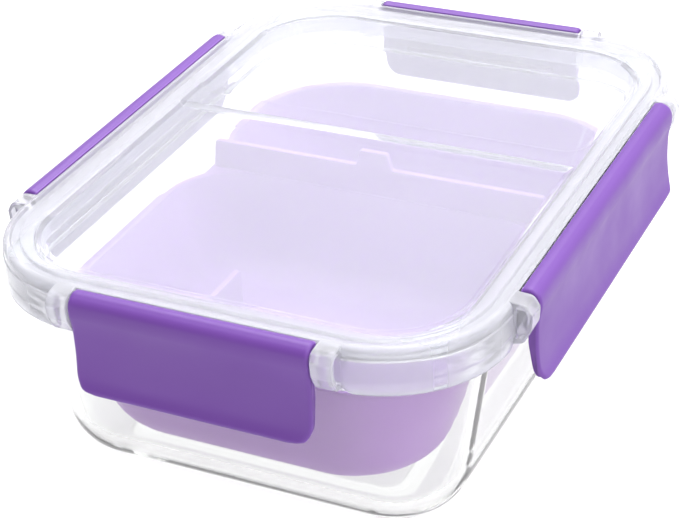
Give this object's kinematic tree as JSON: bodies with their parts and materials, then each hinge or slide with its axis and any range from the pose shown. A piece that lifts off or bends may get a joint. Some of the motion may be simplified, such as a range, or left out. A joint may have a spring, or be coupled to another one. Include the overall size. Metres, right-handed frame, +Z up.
{
  "type": "bento lunch box",
  "caption": "Clear glass lunch box with a divided tray inside, a milky press-on lid with a seal, and flip latches on its sides.",
  "frame": {"origin": "centre of the box's footprint, on the surface it stands on", "axes": "+Z up, +Y along the length away from the front, +X across the width"},
  "size_m": [0.164, 0.2136, 0.0724],
  "materials": {
    "glass": "clear moulded glass, polished",
    "tray": "lilac food-grade plastic, satin",
    "lid": "milky translucent plastic, fine matte",
    "gasket": "clear silicone, satin",
    "latch": "purple moulded plastic, satin"
  },
  "bodies": {
    "dish": {"glass_base": "glass"},
    "tray": {"food_tray": "tray"},
    "lid": {"lid": "lid", "lid_gasket": "gasket"},
    "front_latch": {"latch_front": "latch"},
    "rear_latch": {"latch_rear": "latch"},
    "left_latch": {"latch_left": "latch"},
    "right_latch": {"latch_right": "latch"}
  },
  "joints": [
    {"name": "tray_lift", "type": "slide", "parent": "dish", "child": "tray", "axis": [0, 0, 1], "range_m": [0, 0.12]},
    {"name": "lid_lift", "type": "slide", "parent": "tray", "child": "lid", "axis": [0, 0, 1], "range_m": [0, 0.15]},
    {"name": "front_latch_flip", "type": "hinge", "parent": "lid", "child": "front_latch", "pos_m": [0, -0.1024, 0.0687], "axis": [-1, 0, 0], "range_deg": [0, 135]},
    {"name": "rear_latch_flip", "type": "hinge", "parent": "lid", "child": "rear_latch", "pos_m": [0, 0.1024, 0.0687], "axis": [1, 0, 0], "range_deg": [0, 135]},
    {"name": "left_latch_flip", "type": "hinge", "parent": "lid", "child": "left_latch", "pos_m": [-0.0776, 0, 0.0687], "axis": [0, 1, 0], "range_deg": [0, 135]},
    {"name": "right_latch_flip", "type": "hinge", "parent": "lid", "child": "right_latch", "pos_m": [0.0776, 0, 0.0687], "axis": [0, -1, 0], "range_deg": [0, 135]}
  ]
}
